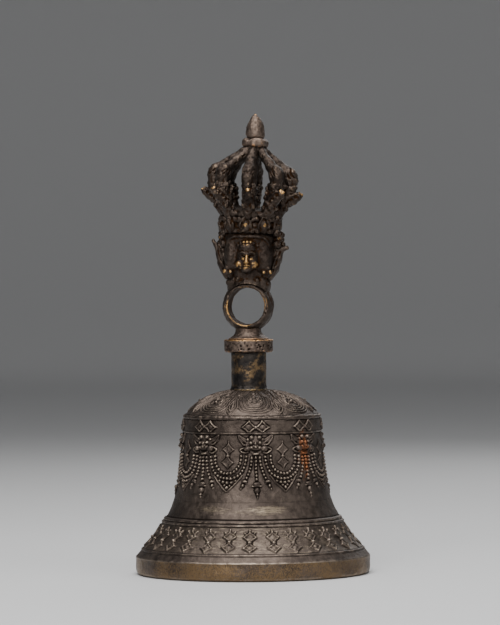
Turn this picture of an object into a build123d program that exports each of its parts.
from build123d import *
import os

# A Tibetan hand bell: a bell-metal bowl, and a handle with an open finger ring, a crowned head and
# nine vajra prongs. An iron tie rod clamps the handle to the crown of the bowl, and the eye nut under
# it carries a wire link and the clapper. Millimetres, +Z up, -Y is the side with the face, and the
# origin is the centre of the rim's flat face, which the bell stands on.

# ---------------------------------------------------------------- driving dimensions
BELL_HEIGHT = 75.5
RIM_RADIUS = 48.5
RIM_BAND_TOP = 7.4
CROWN_LAND_RADIUS = 9.2
CROWN_THICKNESS = 3.2

HANDLE_X = -1.2          # the handle was set by hand, a little off the bell's axis
NECK_RADIUS = 7.25
NECK_BORE = 4.6
NECK_HEIGHT = 15.9
COLLAR_RADIUS = 10.05
COLLAR_HEIGHT = 5.0
FOOT_RADIUS = 8.4
FOOT_WAIST = 4.9

RING_CENTRE_Z = 110.5
RING_BORE = 7.6
RING_SOLID = 0.0         # a bore of nothing: the barrel's whole outer shape, used for cutting
RING_LIP_RADIUS = 9.3
RING_OUTER_RADIUS = 10.7
RING_DEPTH = 11.4
RING_YAW = -10.0         # degrees about Z, so that the ring faces a little to its right
HEAD_YAW = -6.0
HEAD_LEAN = 1.8          # degrees towards +X
VAJRA_LEAN = 4.3

HEAD_BASE = 15.6         # heights over the ring's centre, along the leaning head
CROWN_BASE = 30.0
CROWN_TOP = 37.4
CROWN_CORE = (10.4, 9.6)  # half widths of the plain block inside the crown
CROWN_LEAVES = 10
CROWN_TURN = -3.0        # degrees about Z from the front to the first leaf
VAJRA_BASE = 38.5
LOTUS_RADIUS = 12.0
LOTUS_TOP = 2.2          # heights from here on are over the vajra's base
LOTUS_PETALS = 16
PRONG_COUNT = 8
PRONG_RADIUS = 1.75
KNUCKLE_RADIUS = 2.8     # the carved lump half way down a prong
HUB_BASE = 25.4
HUB_RADIUS = 4.6
TIP_RING_BASE = 27.3
TIP_RING_HEIGHT = 3.5
TIP_RING_RADIUS = 5.25
CENTRAL_PRONG_WIDTH = 3.4
TOTAL_HEIGHT = 190.0
BUD_RADIUS = 3.85

ROD_RADIUS = 2.4
HOLE_CLEARANCE = 0.3
WASHER_RADIUS = 6.2
WASHER_THICKNESS = 1.2
NUT_WIDTH = 8.0
NUT_HEIGHT = 4.0
EYE_RADIUS = 2.5
EYE_WIRE = 0.9
LINK_WIRE = 0.7
LINK_RADIUS = 2.3
LINK_LENGTH = 8.0        # between the middles of the wire at the link's two ends
CLAPPER_EYE_RADIUS = 2.1
CLAPPER_EYE_WIRE = 0.85
HANGING_GAP = 0.06       # free space between two hanging pieces where they bear on each other
BALL_RADIUS = 6.2
BALL_CENTRE_Z = 13.5
BALL_FLAT = 0.6          # how much of the ball's top is cut flat for the shank's shoulder
PIN_RADIUS = 1.5
RIVET_RADIUS = 2.9
RIVET_HEIGHT = 2.8
CLAPPER_TIP_Z = 5.2

# ---------------------------------------------------------------- heights that follow
COLLAR_BASE_Z = BELL_HEIGHT + NECK_HEIGHT
FOOT_BASE_Z = COLLAR_BASE_Z + COLLAR_HEIGHT
INNER_CROWN_Z = BELL_HEIGHT - CROWN_THICKNESS
NUT_TOP_Z = INNER_CROWN_Z - WASHER_THICKNESS
NUT_BASE_Z = NUT_TOP_Z - NUT_HEIGHT
EYE_CENTRE_Z = NUT_BASE_Z - EYE_RADIUS - EYE_WIRE / 2
LINK_PIVOT_Z = EYE_CENTRE_Z - EYE_RADIUS
LINK_TOP_Z = LINK_PIVOT_Z + EYE_WIRE + LINK_WIRE + HANGING_GAP
CLAPPER_PIVOT_Z = LINK_TOP_Z - LINK_LENGTH
CLAPPER_EYE_Z = CLAPPER_PIVOT_Z + LINK_WIRE + CLAPPER_EYE_WIRE + HANGING_GAP - CLAPPER_EYE_RADIUS
ROD_TOP_Z = RING_CENTRE_Z - RING_OUTER_RADIUS - 0.6
BALL_TOP_Z = BALL_CENTRE_Z + BALL_RADIUS - BALL_FLAT
RIVET_TOP_Z = CLAPPER_TIP_Z + RIVET_HEIGHT
PIN_LOW_Z = CLAPPER_TIP_Z + 1.0
ROD_LOW_Z = NUT_BASE_Z + 1.0
TIP_RING_TOP = TIP_RING_BASE + TIP_RING_HEIGHT

# ---------------------------------------------------------------- local frames
ring_frame = Location((HANDLE_X, 0, RING_CENTRE_Z), (0, 0, RING_YAW))
head_lean = Location((HANDLE_X, 0, RING_CENTRE_Z)) * Location((0, 0, 0), (0, HEAD_LEAN, 0))
head_frame = head_lean * Location((0, 0, 0), (0, 0, HEAD_YAW))
vajra_origin = (head_lean * Location((0, 0, VAJRA_BASE))).position
vajra_lean = Location(vajra_origin) * Location((0, 0, 0), (0, VAJRA_LEAN, 0))
vajra_frame = vajra_lean * Location((0, 0, 0), (0, 0, HEAD_YAW))


# ---------------------------------------------------------------- helpers
def turned(*edges):
    """A solid turned about Z from the closed outline that the edges make in the XZ plane."""
    return revolve(make_face(Wire(edges)), Axis.Z)


def at(radius, height):
    """A point of a turned outline."""
    return Vector(radius, 0, height)


def turned_polygon(*points):
    """A solid turned about Z from straight runs between (radius, height) points."""
    corners = [at(*p) for p in points]
    return revolve(make_face(Polyline(*corners, close=True)), Axis.Z)


def rod(radius, low, high, x=0.0):
    """A round bar along Z."""
    return Pos(x, 0, (low + high) / 2) * Cylinder(radius, high - low)


def around(solid, count):
    """Copies of a solid, evenly spaced about Z, as one group of separate solids."""
    return Compound([s for k in range(count) for s in (Rot(0, 0, k * 360 / count) * solid).solids()])


def oval_loft(*sections):
    """A loft through ellipses given as (height, x radius, y radius)."""
    rings = [Pos(0, 0, z) * Ellipse(rx, ry) for z, rx, ry in sections]
    return loft(rings)


def ellipsoid(x, y, z, rx, ry, rz):
    """An ellipsoid with its centre at x, y, z."""
    return Pos(x, y, z) * scale(Sphere(1.0), by=(rx, ry, rz))


def largest(shape):
    """The largest of a cut shape's solids."""
    return max(shape.solids(), key=lambda solid: solid.volume)


def save(node, shape):
    """Writes one node, as one solid or a group of separate solids."""
    solids = shape.solids()
    whole = solids[0] if len(solids) == 1 else Compound(solids)
    export_step(whole, f"parts/{node}.step")


# ---------------------------------------------------------------- the bell
def make_bell_shell():
    """The cast bowl: a thick rim band, a flared skirt, a ringed waist, a raised band and a domed crown."""
    band_top = at(RIM_RADIUS, RIM_BAND_TOP)
    flare_low, flare_high = at(45.3, 11.1), at(37.5, 21.2)
    waist_low, waist_high = at(35.7, 23.9), at(28.25, 58.6)
    ledge_low, ledge_high = at(28.35, 64.4), at(28.1, 65.9)
    land_edge = at(CROWN_LAND_RADIUS, BELL_HEIGHT)
    inner_edge, inner_land = at(43.6, 0), at(8.0, INNER_CROWN_Z)
    shell = turned(
        Line(inner_edge, at(46.6, 0)),
        ThreePointArc(at(46.6, 0), at(47.95, 0.6), at(48.4, 2.2)),
        Line(at(48.4, 2.2), band_top),
        Line(band_top, at(46.0, 10.1)),
        ThreePointArc(at(46.0, 10.1), at(46.0, 10.8), flare_low),
        ThreePointArc(flare_low, at(40.7, 15.8), flare_high),
        ThreePointArc(flare_high, at(37.5, 22.1), at(36.7, 22.4)),
        ThreePointArc(at(36.7, 22.4), at(36.6, 23.4), waist_low),
        Spline(waist_low, at(32.4, 31.0), at(29.9, 41.0), at(28.75, 51.0), waist_high),
        Line(waist_high, at(28.75, 58.8)),
        Line(at(28.75, 58.8), ledge_low),
        ThreePointArc(ledge_low, at(28.95, 65.2), ledge_high),
        Spline(ledge_high, at(25.9, 68.6), at(21.0, 72.4), at(14.7, 74.6), land_edge),
        Line(land_edge, at(0, BELL_HEIGHT)),
        Line(at(0, BELL_HEIGHT), at(0, INNER_CROWN_Z)),
        Line(at(0, INNER_CROWN_Z), inner_land),
        Spline(inner_land, at(15.0, 71.2), at(20.6, 68.0), at(23.9, 63.2), at(25.1, 56.5)),
        Spline(at(25.1, 56.5), at(25.9, 48.0), at(27.3, 38.5), at(29.8, 30.0), at(34.9, 20.2)),
        Spline(at(34.9, 20.2), at(38.9, 14.4), at(42.0, 9.0), at(43.2, 4.0), inner_edge),
    )
    hole = rod(ROD_RADIUS + HOLE_CLEARANCE, INNER_CROWN_Z - 1, BELL_HEIGHT + 1, HANDLE_X)
    return shell - hole


def make_neck_sleeve():
    """The brass tube between the bowl and the collar, with a small bead at its foot."""
    top = COLLAR_BASE_Z
    low = BELL_HEIGHT
    tube = turned(
        Line(at(NECK_BORE, low), at(NECK_RADIUS + 0.5, low)),
        ThreePointArc(
            at(NECK_RADIUS + 0.5, low), at(NECK_RADIUS + 0.6, low + 0.6), at(NECK_RADIUS, low + 1.2)
        ),
        Line(at(NECK_RADIUS, low + 1.2), at(NECK_RADIUS, top)),
        Line(at(NECK_RADIUS, top), at(NECK_BORE, top)),
        Line(at(NECK_BORE, top), at(NECK_BORE, low)),
    )
    return Pos(HANDLE_X, 0, 0) * tube


def make_lac_core():
    """The lac poured round the tie rod inside the neck."""
    core = rod(NECK_BORE, BELL_HEIGHT, COLLAR_BASE_Z) - rod(ROD_RADIUS, BELL_HEIGHT - 1, COLLAR_BASE_Z + 1)
    return Pos(HANDLE_X, 0, 0) * core


def make_collar():
    """The thick disc on the neck, with a thin raised lip round its top."""
    low, high = COLLAR_BASE_Z, FOOT_BASE_Z
    bore = ROD_RADIUS + HOLE_CLEARANCE
    disc = turned_polygon(
        (bore, low),
        (COLLAR_RADIUS - 0.5, low),
        (COLLAR_RADIUS, low + 0.5),
        (COLLAR_RADIUS, high + 0.1),
        (COLLAR_RADIUS - 0.8, high + 0.4),
        (COLLAR_RADIUS - 1.3, high),
        (bore, high),
    )
    return Pos(HANDLE_X, 0, 0) * disc


# ---------------------------------------------------------------- the handle
def ring_barrel(bore):
    """The finger ring's barrel shape about its own axis, which lies along Y at the ring's centre."""
    half = RING_DEPTH / 2
    barrel = turned(
        Line(at(bore, -half), at(RING_LIP_RADIUS, -half)),
        ThreePointArc(at(RING_LIP_RADIUS, -half), at(RING_OUTER_RADIUS, 0), at(RING_LIP_RADIUS, half)),
        Line(at(RING_LIP_RADIUS, half), at(bore, half)),
        Line(at(bore, half), at(bore, -half)),
    )
    return ring_frame * (Rot(90, 0, 0) * barrel)


def make_handle_foot():
    """The small flared foot that the ring stands on, with a blind hole for the tie rod."""
    low, high = FOOT_BASE_Z, RING_CENTRE_Z - RING_BORE
    foot = turned(
        Line(at(0, low), at(FOOT_RADIUS, low)),
        Line(at(FOOT_RADIUS, low), at(FOOT_RADIUS, low + 0.5)),
        ThreePointArc(
            at(FOOT_RADIUS, low + 0.5), at(FOOT_WAIST + 0.7, low + 2.3), at(FOOT_WAIST, low + 4.4)
        ),
        Line(at(FOOT_WAIST, low + 4.4), at(FOOT_WAIST, high)),
        Line(at(FOOT_WAIST, high), at(0, high)),
        Line(at(0, high), at(0, low)),
    )
    foot = largest(Pos(HANDLE_X, 0, 0) * foot - ring_barrel(RING_SOLID))
    return foot - rod(ROD_RADIUS, low - 1, ROD_TOP_Z, HANDLE_X)


def head_solid():
    """The crowned head in its own frame, from the shoulders to the crown's top, with nose and chin."""
    block = oval_loft(
        (HEAD_BASE, 9.2, 7.6), (20.0, 10.9, 9.3), (25.0, 11.6, 10.2), (CROWN_BASE, 11.4, 10.4)
    )
    core = extrude(Pos(0, 0, CROWN_BASE) * Ellipse(*CROWN_CORE), CROWN_TOP - CROWN_BASE)
    face = ellipsoid(0, -7.0, 23.0, 5.2, 5.2, 7.2)
    nose = Pos(0, -12.2, 22.4) * Cone(1.1, 0.4, 4.0)
    return block + core + face + nose


def make_throat():
    """The short neck on the ring, widening to the shoulders, with a ring of round beads."""
    neck = oval_loft((6.0, 7.6, 4.6), (9.5, 8.0, 5.4), (12.5, 8.1, 6.2), (HEAD_BASE, 8.9, 7.4))
    beads = around(Pos(8.6, 0, 14.0) * Sphere(1.1), 8)
    neck = head_frame * (neck + beads)
    neck = largest(neck - ring_barrel(RING_SOLID))
    return neck - head_frame * head_solid()


def make_crown():
    """The crown round the top of the head: a band on a rim, with a row of jewelled leaves."""
    height = CROWN_TOP - CROWN_BASE
    inside = Ellipse(*CROWN_CORE)
    band = extrude(Pos(0, 0, CROWN_BASE) * (Ellipse(12.0, 11.2) - inside), height)
    rim = extrude(Pos(0, 0, CROWN_BASE) * (Ellipse(12.8, 12.0) - inside), 1.3)
    first = Rot(0, 0, CROWN_TURN) * Pos(0, -11.6, CROWN_BASE + height / 2) * Sphere(1.3)
    jewels = around(first, CROWN_LEAVES)
    core = extrude(Pos(0, 0, CROWN_BASE - 1) * inside, height + 2)
    return head_frame * (band + rim + jewels - core)


def make_ribbon(side):
    """One of the two scarf ends that curl out beside the face; side is -1 or 1 along X."""
    foot, tip, root = (9.0, 0, 14.6), (15.4, 0, 27.4), (10.0, 0, 24.0)
    outer = Spline(foot, (12.4, 0, 17.2), (14.4, 0, 22.6), tip)
    inner = Spline(tip, (12.9, 0, 25.6), root)
    leaf = extrude(make_face(Wire([outer, inner, Line(root, foot)])), 1.5, dir=(0, 1, 0), both=True)
    leaf = leaf if side > 0 else mirror(leaf, Plane.YZ)
    ribbon = head_frame * largest(leaf - head_solid())
    return ribbon - make_throat()


# ---------------------------------------------------------------- the nine-pronged vajra
def make_lotus_base():
    """The lotus that the vajra's heads stand on, a low ring of round petals over the crown."""
    low = -1.0
    disc = turned_polygon(
        (0, low),
        (LOTUS_RADIUS - 1.4, low),
        (LOTUS_RADIUS, low + 1.4),
        (LOTUS_RADIUS, LOTUS_TOP - 0.8),
        (LOTUS_RADIUS - 1.4, LOTUS_TOP),
        (0, LOTUS_TOP),
    )
    petals = around(Pos(LOTUS_RADIUS - 0.6, 0, 0.5) * Sphere(1.5), LOTUS_PETALS)
    under = head_frame * (Pos(0, 0, CROWN_TOP - 10) * Box(60, 60, 20))
    return vajra_frame * (disc + petals) - under


def prong_solid():
    """One outer prong in the vajra's XZ plane: a straight slope from the hub, then a bend to the makara."""
    slope = Line((3.9, 0, 26.3), (12.4, 0, 20.2))
    bend = TangentArc(slope @ 1, (16.4, 0, 10.0), tangent=slope % 1)
    path = Wire([slope, bend])
    bar = sweep(Plane(slope @ 0, z_dir=slope % 0) * Circle(PRONG_RADIUS), path=path)
    return bar + Pos(15.8, 0, 14.8) * Sphere(KNUCKLE_RADIUS)


def makara_solid():
    """One makara head, with its snout curling out, that holds the foot of a prong."""
    low, middle, high = Ellipse(2.4, 2.7), Ellipse(4.0, 3.1), Ellipse(3.8, 2.9)
    skull = loft([Pos(10.2, 0, LOTUS_TOP) * low, Pos(12.6, 0, 6.0) * middle, Pos(14.4, 0, 10.6) * high])
    snout = Pos(17.4, 0, 8.4) * (Rot(0, 82, 0) * Cone(2.3, 0.7, 6.4))
    return skull + snout


def hub_solid():
    """The low disc that gathers the prongs' upper ends."""
    return rod(HUB_RADIUS, HUB_BASE, TIP_RING_BASE)


def make_outer_prongs():
    """The outer prongs, each a separate solid."""
    under_tip = rod(TIP_RING_RADIUS, TIP_RING_BASE, TIP_RING_TOP)
    one = largest(prong_solid() - hub_solid() - makara_solid() - under_tip)
    return vajra_frame * around(one, PRONG_COUNT)


def make_makara_heads():
    """The makara heads, each a separate solid."""
    return vajra_frame * around(makara_solid(), PRONG_COUNT)


def make_central_prong():
    """The ninth prong: a square bar from the lotus to the hub."""
    height = HUB_BASE - LOTUS_TOP
    bar = Pos(0, 0, LOTUS_TOP + height / 2) * Box(CENTRAL_PRONG_WIDTH, CENTRAL_PRONG_WIDTH, height)
    return vajra_frame * bar


def make_prong_hub():
    """The hub where the nine prongs meet."""
    return vajra_frame * hub_solid()


def make_tip_ring():
    """The thick ring on the hub, under the bud."""
    low, high = TIP_RING_BASE, TIP_RING_TOP
    middle = (low + high) / 2
    ring = turned(
        Line(at(0, low), at(TIP_RING_RADIUS - 1.1, low)),
        ThreePointArc(
            at(TIP_RING_RADIUS - 1.1, low), at(TIP_RING_RADIUS, middle), at(TIP_RING_RADIUS - 1.1, high)
        ),
        Line(at(TIP_RING_RADIUS - 1.1, high), at(0, high)),
        Line(at(0, high), at(0, low)),
    )
    return vajra_frame * ring


def make_finial_bud():
    """The upright bud at the very top, cut to sit flat on the leaning ring."""
    seat = (vajra_lean * Location((0, 0, TIP_RING_TOP))).position
    low = seat.Z - 0.6
    bud = turned(
        Line(at(0, low), at(BUD_RADIUS - 0.5, low)),
        Spline(
            at(BUD_RADIUS - 0.5, low),
            at(BUD_RADIUS, low + 2.2),
            at(BUD_RADIUS * 0.8, low + 5.8),
            at(BUD_RADIUS * 0.42, low + 9.0),
            at(0, TOTAL_HEIGHT),
        ),
        Line(at(0, TOTAL_HEIGHT), at(0, low)),
    )
    bud = Pos(seat.X, 0, 0) * bud
    below = vajra_frame * (Pos(0, 0, TIP_RING_TOP - 5) * Box(20, 20, 10))
    return bud - below


# ---------------------------------------------------------------- inside the bell
def make_tie_rod():
    """The iron rod from the foot of the handle to the nut under the crown."""
    return rod(ROD_RADIUS, ROD_LOW_Z, ROD_TOP_Z, HANDLE_X)


def make_crown_washer():
    """The washer under the crown."""
    bore = rod(ROD_RADIUS + HOLE_CLEARANCE, NUT_TOP_Z - 1, INNER_CROWN_Z + 1, HANDLE_X)
    return rod(WASHER_RADIUS, NUT_TOP_Z, INNER_CROWN_Z, HANDLE_X) - bore


def make_eye_nut():
    """The square nut that clamps the handle, with the eye that the clapper hangs from."""
    body = Pos(HANDLE_X, 0, (NUT_TOP_Z + NUT_BASE_Z) / 2) * Box(NUT_WIDTH, NUT_WIDTH, NUT_HEIGHT)
    body = chamfer(body.edges().filter_by(Axis.Z), 0.8)
    body -= rod(ROD_RADIUS, ROD_LOW_Z, NUT_TOP_Z + 1, HANDLE_X)
    eye = Pos(HANDLE_X, 0, EYE_CENTRE_Z) * (Rot(90, 0, 0) * Torus(EYE_RADIUS, EYE_WIRE))
    return body + eye


def make_clapper_link():
    """The oval wire link between the eye nut and the clapper, in the YZ plane."""
    top, bottom = LINK_TOP_Z - LINK_RADIUS, CLAPPER_PIVOT_Z + LINK_RADIUS
    x = HANDLE_X
    oval = Wire(
        [
            ThreePointArc((x, -LINK_RADIUS, top), (x, 0, LINK_TOP_Z), (x, LINK_RADIUS, top)),
            Line((x, LINK_RADIUS, top), (x, LINK_RADIUS, bottom)),
            ThreePointArc((x, LINK_RADIUS, bottom), (x, 0, CLAPPER_PIVOT_Z), (x, -LINK_RADIUS, bottom)),
            Line((x, -LINK_RADIUS, bottom), (x, -LINK_RADIUS, top)),
        ]
    )
    section = Plane((x, LINK_RADIUS, top), z_dir=(0, 0, 1)) * Circle(LINK_WIRE)
    return sweep(section, path=oval)


def make_clapper_rod():
    """The iron clapper's shank: an eye at the top, a tapered bar and a pin that goes through the ball."""
    eye = Pos(HANDLE_X, 0, CLAPPER_EYE_Z) * (Rot(90, 0, 0) * Torus(CLAPPER_EYE_RADIUS, CLAPPER_EYE_WIRE))
    top = CLAPPER_EYE_Z - CLAPPER_EYE_RADIUS
    shank = turned_polygon(
        (0, PIN_LOW_Z),
        (PIN_RADIUS, PIN_LOW_Z),
        (PIN_RADIUS, BALL_TOP_Z),
        (2.6, BALL_TOP_Z),
        (2.2, BALL_TOP_Z + 2.0),
        (1.3, top),
        (0, top),
    )
    return Pos(HANDLE_X, 0, 0) * shank + eye


def make_clapper_ball():
    """The brass ball that strikes the wall, bored for the shank's pin and cut flat at both ends."""
    ball = Sphere(BALL_RADIUS) & Pos(0, 0, (BALL_TOP_Z + RIVET_TOP_Z) / 2 - BALL_CENTRE_Z) * Box(
        20, 20, BALL_TOP_Z - RIVET_TOP_Z
    )
    return Pos(HANDLE_X, 0, BALL_CENTRE_Z) * (ball - rod(PIN_RADIUS, -BALL_RADIUS, BALL_RADIUS))


def make_clapper_rivet():
    """The small cap under the ball that the pin's end is closed into."""
    low, high = CLAPPER_TIP_Z, RIVET_TOP_Z
    cap = turned_polygon(
        (0, low), (RIVET_RADIUS - 1.5, low), (RIVET_RADIUS, low + 1.2), (RIVET_RADIUS, high), (0, high)
    )
    return Pos(HANDLE_X, 0, 0) * (cap - rod(PIN_RADIUS, PIN_LOW_Z, high + 1))


# ---------------------------------------------------------------- writing the nodes
def main():
    os.makedirs("parts", exist_ok=True)
    nodes = {
        "bell_shell": make_bell_shell(),
        "neck_sleeve": make_neck_sleeve(),
        "lac_core": make_lac_core(),
        "collar": make_collar(),
        "handle_foot": make_handle_foot(),
        "finger_ring": ring_barrel(RING_BORE),
        "throat": make_throat(),
        "goddess_head": head_frame * head_solid(),
        "crown": make_crown(),
        "ribbon_left": make_ribbon(-1),
        "ribbon_right": make_ribbon(1),
        "lotus_base": make_lotus_base(),
        "makara_heads": make_makara_heads(),
        "outer_prongs": make_outer_prongs(),
        "central_prong": make_central_prong(),
        "prong_hub": make_prong_hub(),
        "tip_ring": make_tip_ring(),
        "finial_bud": make_finial_bud(),
        "tie_rod": make_tie_rod(),
        "crown_washer": make_crown_washer(),
        "eye_nut": make_eye_nut(),
        "clapper_link": make_clapper_link(),
        "clapper_rod": make_clapper_rod(),
        "clapper_ball": make_clapper_ball(),
        "clapper_rivet": make_clapper_rivet(),
    }
    for node, shape in nodes.items():
        save(node, shape)


main()
